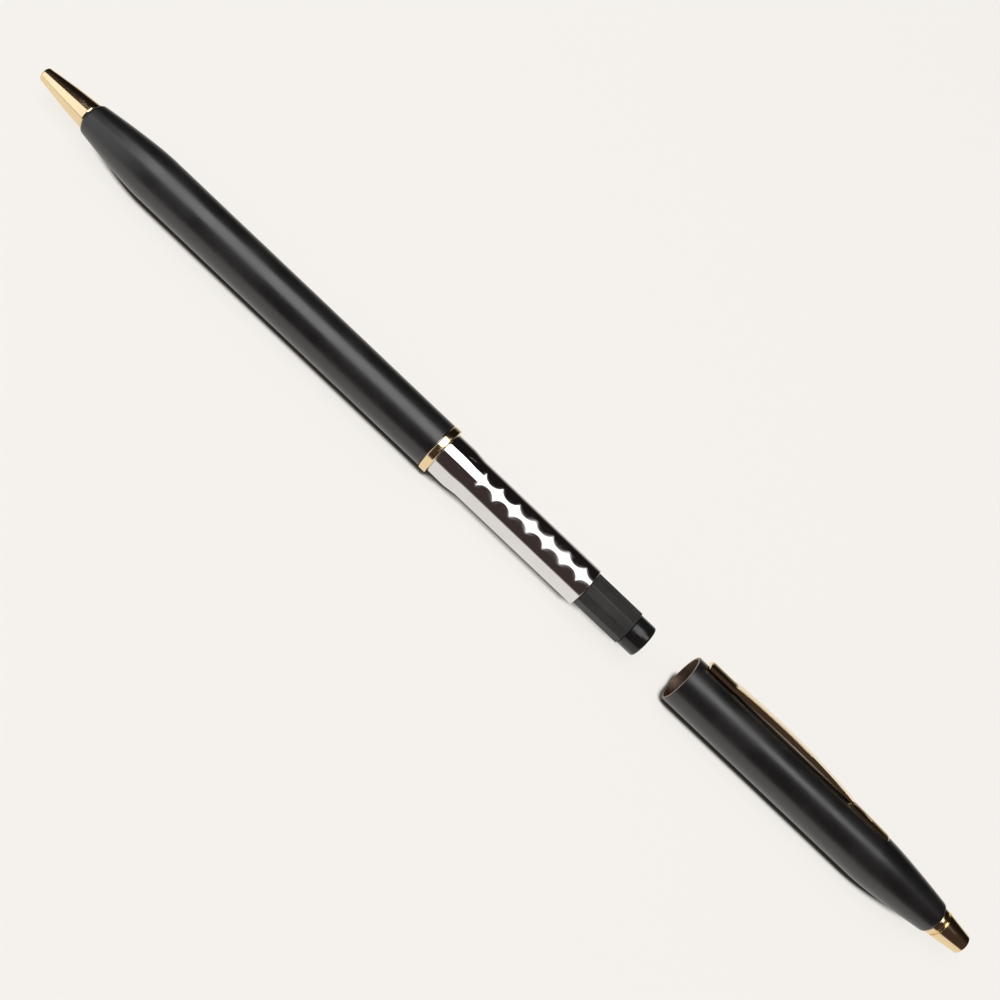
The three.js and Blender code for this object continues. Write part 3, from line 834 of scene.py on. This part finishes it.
plugValues = {
    "front": 37.85,
    "rear": 40.85,
    "radius": 2.7,
    "frontEdge": 0.1,
    "rearEdge": 0.4,
    "spigot": 1.87,
    "spigotFront": 32.85,
    "spigotEdge": 0.15,
}


def makeCollarEndPlug():
    v = plugValues
    outline = [
        (v["spigotFront"], 0),
        (v["spigotFront"], v["spigot"], v["spigotEdge"]),
        (v["front"], v["spigot"]),
        (v["front"], v["radius"], v["frontEdge"]),
        (v["rear"], v["radius"], v["rearEdge"]),
        (v["rear"], 0),
    ]
    piece = turnPiece("collarEndPlug", outline, 128, closed=False)
    smoothPiece(piece)
    placePiece(piece, finishes["glossPlastic"], "rotor", "collar_end_plug")


pointValues = {
    "lip": -78.19,
    "ballMiddle": -78.0,
    "ball": 0.35,
    "socket": 0.38,
    "lipBore": 0.324,
    "lipRadius": 0.44,
    "lipEdge": 0.03,
    "taper": 2.4,
    "stem": 0.62,
    "neckFront": -70.95,
    "neckSlope": 0.2,
    "neck": 1.15,
    "neckRear": -65.15,
    "insideTube": 1.17,
    "plugRear": -60.45,
    "plugEdge": 0.1,
    "channel": 0.17,
}


def makeRefillPoint():
    v = pointValues
    outline = [
        (v["lip"], v["lipBore"]),
        (v["lip"], v["lipRadius"], v["lipEdge"]),
        (v["lip"] + v["taper"], v["stem"]),
        (v["neckFront"], v["stem"]),
        (v["neckFront"] + v["neckSlope"], v["neck"]),
        (v["neckRear"], v["neck"]),
        (v["neckRear"], v["insideTube"]),
        (v["plugRear"], v["insideTube"], v["plugEdge"]),
        (v["plugRear"], v["channel"]),
        (v["ballMiddle"] + v["socket"], v["channel"]),
        (v["ballMiddle"] + v["socket"] / 2, v["socket"]),
        (v["ballMiddle"], v["socket"]),
    ]
    piece = turnPiece("refillPoint", outline, 64)
    smoothPiece(piece)
    placePiece(piece, finishes["bareBrass"], "refill", "refill_point")


def makeWritingBall():
    deselectAll()
    bpy.ops.mesh.primitive_ico_sphere_add(
        subdivisions=4,
        radius=pointValues["ball"] * mm,
        location=Vector((pointValues["ballMiddle"], 0, axisHeight)) * mm,
    )
    piece = bpy.context.object
    piece.name = "writingBall"
    smoothPiece(piece, 60)
    placePiece(piece, finishes["carbide"], "ball", "writing_ball")


makeNoseCone()
makeLowerBarrel()
makeTrimRing()
makeMechanismSleeve()
makeTwistCollar()
makeCollarEndPlug()
makeRefillPoint()
makeWritingBall()
print("lower half ready")

# Upper barrel, finial and clip

capValues = {
    "mouth": 48.25,
    "top": 98.65,
    "radius": 4.05,
    "wall": 0.4,
    "mouthEdge": 0.09,
    "taper": 13.4,
    "bend": 0.27,  # where the taper turns, as a share of it from its front end
    "topRadius": 2.7,
    "topEdge": 0.5,
    "edgeBend": 0.15,  # how far in the rounded end bends and ends, as shares of topEdge
    "edgeEnd": 0.7,
    "endWall": 0.6,
    "endSlope": 0.1,
    "studHole": 1.03,
    "bareRim": 0.012,  # depth of the mouth's face, which is bare
    "bareEnd": 85,  # the inside is bare from the mouth to here
}


def capTaper(inset, steps):
    v = capValues
    start = v["top"] - v["taper"]
    bend = start + v["bend"] * v["taper"]
    end = v["top"] - v["topEdge"]
    points = bendPoints((start, v["radius"]), (bend, v["radius"]), (end, v["topRadius"]), steps)
    return [(x, r - inset) for x, r in points]


def tabBlock(play, bottom, top):
    # a block straight above the axis, as long and wide as the clip's tab, with play round it
    v = clipValues
    deselectAll()
    bpy.ops.mesh.primitive_cube_add(size=mm, location=(0, 0, 0))
    block = bpy.context.object
    bpy.ops.object.mode_set(mode="EDIT")
    bpy.ops.mesh.select_all(action="SELECT")
    bpy.ops.transform.resize(
        value=(v["tabLength"] + 2 * play, v["tabWidth"] + 2 * play, top - bottom),
        center_override=(0, 0, 0),
    )
    middle = v["tabFront"] + v["tabLength"] / 2
    bpy.ops.transform.translate(value=Vector((middle, 0, (bottom + top) / 2)) * mm)
    bpy.ops.object.mode_set(mode="OBJECT")
    return block


def leanToSide(piece):
    # what is drawn above x turns about the pen's axis to where the clip is
    piece.rotation_euler.x = math.radians(clipValues["turn"])
    piece.location.z = axisHeight * mm


def makeUpperBarrel():
    v = capValues
    insideEnd = v["top"] - v["endWall"] - v["endSlope"]
    inside = [spot for spot in capTaper(v["wall"], 30) if spot[0] < insideEnd]
    edge = bendPoints(
        (v["top"] - v["topEdge"], v["topRadius"]),
        (v["top"], v["topRadius"] - v["edgeBend"] * v["topEdge"]),
        (v["top"], v["topRadius"] - v["edgeEnd"] * v["topEdge"]),
        10,
    )
    outline = [
        (v["mouth"], v["radius"] - v["wall"]),
        (v["mouth"], v["radius"], v["mouthEdge"]),
        *capTaper(0, 48),
        *edge[1:],
        (v["top"], v["studHole"]),
        (v["top"] - v["endWall"], v["studHole"]),
        (v["top"] - v["endWall"], inside[-1][1] - v["endSlope"]),
        *reversed(inside),
    ]
    piece = turnPiece("upperBarrel", outline, 160)
    # slot for the clip's tab
    deep = clipValues["slotDepth"]
    tool = tabBlock(clipValues["slotPlay"], v["radius"] - deep, v["radius"] + deep)
    leanToSide(tool)
    applyAll(piece)
    applyAll(tool)
    cutWith(piece, tool)
    smoothPiece(piece)
    placePiece(piece, finishes["blackLacquer"], "upper_barrel", "cap_shell")
    # the lacquer stops at the mouth's rim, and the brass shows inside
    piece.data.materials.append(finishes["darkBrass"])
    inner = (v["radius"] - 0.5 * v["wall"]) * mm
    for face in piece.data.polygons:
        spot = face.center
        rim = spot.x < (v["mouth"] + v["bareRim"]) * mm
        if rim or (spot.x < v["bareEnd"] * mm and math.hypot(spot.y, spot.z - axisHeight * mm) < inner):
            face.material_index = 1


topValues = {
    "ringFront": 98.75,
    "ringRear": 99.55,
    "ringRadius": 2.3,
    "ringEdge": 0.12,
    "coneFront": 99.65,
    "coneRear": 104.35,
    "coneRadius": 2.25,
    "coneEndRadius": 1.62,
    "coneEdge": 0.3,
    "groove": 0.25,
    "grooveEdge": 0.08,
    "hole": 1.03,
    "holeRear": 102.45,
}


def makeTopRing():
    v = topValues
    outline = [
        (v["ringFront"], v["hole"]),
        (v["ringFront"], v["ringRadius"], v["ringEdge"]),
        (v["ringRear"], v["ringRadius"], v["ringEdge"]),
        (v["ringRear"], v["hole"]),
    ]
    piece = turnPiece("topRing", outline)
    smoothPiece(piece)
    placePiece(piece, finishes["goldPlate"], "upper_barrel", "top_ring")


def makeTopCone():
    v = topValues
    grooveRear = v["coneFront"] + v["groove"]
    outline = [
        (v["coneFront"], v["hole"]),
        (v["coneFront"], v["coneRadius"] - v["groove"]),
        (grooveRear, v["coneRadius"] - v["groove"]),
        (grooveRear, v["coneRadius"], v["grooveEdge"]),
        (v["coneRear"], v["coneEndRadius"], v["coneEdge"]),
        (v["coneRear"], 0),
        (v["holeRear"], 0),
        (v["holeRear"], v["hole"]),
    ]
    piece = turnPiece("topCone", outline)
    smoothPiece(piece)
    placePiece(piece, finishes["goldPlate"], "upper_barrel", "top_cone")


clipValues = {
    "front": 49.85,
    "padLength": 5,
    "padWidth": 3.0,
    "padHeight": 1.05,
    "padCrown": 2.6,  # radius of the pad's crown, across the clip
    "padNose": 0.5,
    # the pad's front: place, height and width, as shares of padNose, padHeight and padWidth
    "noseShape": ((0, 0.74, 0.92), (0.2, 0.86, 0.96), (0.5, 0.95, 0.99), (1, 1, 1)),
    # and its rear: how far before its end, and how much lower
    "padEnd": ((0.3, 0), (0.15, 0.015), (0.05, 0.06), (0, 0.13)),
    "padEndTaper": 0.4,
    "armWidth": 2.6,
    "armFrontHeight": 1.0,
    "armRearHeight": 0.45,
    "arch": 0.525,
    "underArch": 0.25,
    "armStart": (-0.5, 0.1),  # the arm starts inside the pad, a little below its top
    "armEnd": ((0.15, 0.04), (0.28, 0.12)),
    "root": 78.25,
    "rootLength": 7.4,
    "rootWidth": 3.1,
    "rootCrown": 2.7,
    # the root's front: place, how much lower, and how much narrower on each side
    "rootStart": ((-0.6, 0.31, 0.3), (-0.45, 0.15, 0.14), (-0.2, 0.05, 0.04), (0.2, 0.01, 0)),
    "rootEndHeight": 0.25,
    "rootEndDrop": 0.1,
    "rounding": 0.6,  # of the root's rear corners
    "seat": 0.07,
    "saddle": (40, 100),  # from where to where the round cutter goes
    "tabFront": 80.45,
    "tabLength": 1.6,
    "tabWidth": 1.8,
    "tabDepth": 0.8,
    "tabTop": 0.25,
    "slotPlay": 0.2,
    "slotDepth": 1.5,
    "turn": -45,  # degrees about the pen's axis, from straight up
}


def padStations():
    # place, low side, top and width of the clip's pad, from its front end
    v = clipValues
    radius = capValues["radius"]
    low = radius + v["seat"]
    padRear = v["front"] + v["padLength"]
    stations = []
    for share, rise, width in v["noseShape"]:
        place = v["front"] + share * v["padNose"]
        stations.append((place, low, radius + rise * v["padHeight"], width * v["padWidth"]))
    for inset, drop in v["padEnd"]:
        width = v["padWidth"] - v["padEndTaper"] * drop
        stations.append((padRear - inset, low, radius + v["padHeight"] - drop, width))
    return stations


def armStations():
    # the same for the clip's arm, from inside the pad into its root
    v = clipValues
    radius = capValues["radius"]
    low = radius + v["seat"]
    padRear = v["front"] + v["padLength"]
    armFront = radius + v["armFrontHeight"]
    armRear = radius + v["armRearHeight"]
    middle = (padRear + v["root"]) / 2
    peak = (armFront + armRear) / 2 + 2 * v["arch"]
    over = bendPoints((padRear, armFront), (middle, peak), (v["root"], armRear), 40)
    under = bendPoints((padRear, low), (middle, low + 2 * v["underArch"]), (v["root"], low), 40)
    onward, drop = v["armStart"]
    stations = [(padRear + onward, low, armFront - drop, v["armWidth"])]
    for (place, top), (_, bottom) in zip(over, under):
        stations.append((place, bottom, top, v["armWidth"]))
    for onward, drop in v["armEnd"]:
        stations.append((v["root"] + onward, low, armRear - drop, v["armWidth"] - drop))
    return stations


def rootStations():
    # and for its root, whose low side is taken off with the saddle
    v = clipValues
    radius = capValues["radius"]
    rootRear = v["root"] + v["rootLength"]
    low = radius - 4 * v["seat"]
    start = radius + v["armRearHeight"]
    end = radius + v["rootEndHeight"]
    stations = []
    for onward, drop, inset in v["rootStart"]:
        stations.append((v["root"] + onward, low, start - drop, v["rootWidth"] - 2 * inset))
    for share in (0.3, 0.6):
        place = v["root"] + share * v["rootLength"]
        stations.append((place, low, start + share * (end - start), v["rootWidth"]))
    for share in (0.0, 0.3, 0.6, 0.85, 1.0):
        inset = v["rounding"] * (1 - math.sqrt(1 - share**2))
        place = rootRear - v["rounding"] * (1 - share)
        stations.append((place, low, end - v["rootEndDrop"] * share**3, v["rootWidth"] - 2 * inset))
    return stations


def crownedSection(width, tall, crown):
    # a section with a round crown, as shares of its width and height
    corners = [(-0.5, 0)]
    for share in (-0.5, -0.47, -0.42, -0.35, -0.27, -0.18, -0.09, 0):
        drop = crown - math.sqrt(crown**2 - (share * width) ** 2)
        corners.append((share, 1 - drop / tall))
    return corners + [(-y, z) for y, z in reversed(corners[:-1])]


def armSection():
    # a flat strip with rounded edges
    corners = [(-0.5, 0), (-0.5, 0.8), (-0.5, 0.86), (-0.494, 0.92)]
    corners += [(-0.475, 0.965), (-0.44, 0.985), (0, 1)]
    return corners + [(-y, z) for y, z in reversed(corners[:-1])]


def drawLoft(name, stations, section):
    # one section, extruded and resized from station to station
    place, low, top, width = stations[0]
    spots = []
    for y, z in section:
        spots.append(Vector((place, y * width, low + z * (top - low))) * mm)
    piece = drawChain(name, spots)
    bpy.ops.mesh.select_all(action="SELECT")
    bpy.ops.mesh.edge_face_add()
    for here, there in zip(stations, stations[1:]):
        shift = Vector((there[0] - here[0], 0, there[1] - here[1])) * mm
        bpy.ops.mesh.extrude_region_move(TRANSFORM_OT_translate={"value": shift})
        grow = (1, there[3] / here[3], (there[2] - there[1]) / (here[2] - here[1]))
        base = Vector((there[0], 0, there[1])) * mm
        bpy.ops.transform.resize(value=grow, center_override=base)
    bpy.ops.mesh.select_all(action="SELECT")
    bpy.ops.mesh.normals_make_consistent(inside=False)
    bpy.ops.object.mode_set(mode="OBJECT")
    applyAll(piece)
    return piece


def makeClip():
    v = clipValues
    padTall = v["padHeight"] - v["seat"]
    rootTall = v["armRearHeight"] + 4 * v["seat"]
    padShape = crownedSection(v["padWidth"], padTall, v["padCrown"])
    rootShape = crownedSection(v["rootWidth"], rootTall, v["rootCrown"])
    pad = drawLoft("clipPad", padStations(), padShape)
    root = drawLoft("clipRoot", rootStations(), rootShape)
    piece = drawLoft("pocketClip", armStations(), armSection())
    cutWith(piece, pad, "UNION")
    cutWith(piece, root, "UNION")
    # the saddle under it follows the barrel, and the tab goes through the barrel's slot
    radius = capValues["radius"]
    cutWith(piece, roundTool(radius + v["seat"], *v["saddle"], 0))
    cutWith(piece, tabBlock(0, radius - v["tabDepth"], radius + v["tabTop"]), "UNION")
    leanToSide(piece)
    smoothPiece(piece, 35)
    placePiece(piece, finishes["goldPlate"], "clip", "clip")


makeUpperBarrel()
makeTopRing()
makeTopCone()
makeClip()
print("upper barrel ready")

# Pieces inside keep their CAD shapes and get their finishes

insideFinishes = {
    "slider_guide": "bareBrass",
    "retaining_ring": "bareBrass",
    "cam_spindle": "brightSteel",
    "drag_ring": "blackRubber",
    "slider": "whiteAcetal",
    "refill_rear_plug": "mattPlastic",
    "refill_tube": "brightSteel",
    "ink_column": "blueInk",
    "grip_bush": "mattPlastic",
    "cap_end_plug": "bareBrass",
    "top_stud": "brightSteel",
}
for node, name in insideFinishes.items():
    for slot in nodes[node].material_slots:
        slot.material = finishes[name]
print("inside pieces finished:", len(insideFinishes))
